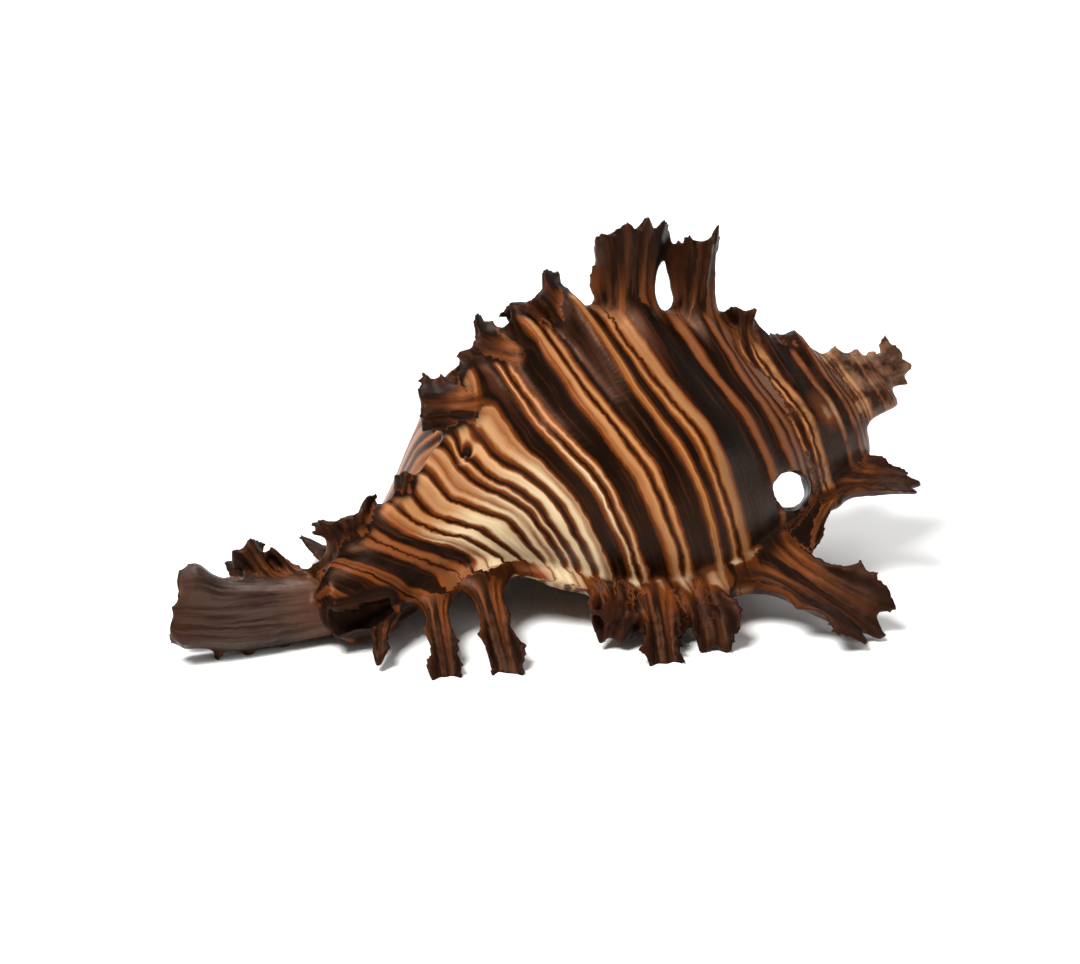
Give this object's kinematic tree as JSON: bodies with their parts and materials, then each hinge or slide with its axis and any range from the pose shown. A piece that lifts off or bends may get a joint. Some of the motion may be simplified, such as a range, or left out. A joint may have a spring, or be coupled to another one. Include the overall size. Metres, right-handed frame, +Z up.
{
  "type": "murex shell",
  "caption": "Spiny sea snail shell with a coiled body, rows of hollow fronds, a blunt spire and a long bent canal, lying on its mouth.",
  "frame": {"origin": "centre of the bounding box on the plane that the shell rests on", "axes": "+Z up, +X along the shell from its canal towards its spire, -Y towards the side seen in the picture"},
  "size_m": [0.0923, 0.0604, 0.0468],
  "materials": {
    "shell": "satin, dark brown with tan and cream spiral stripes"
  },
  "bodies": {
    "root": {"shell": "shell"}
  },
  "joints": []
}
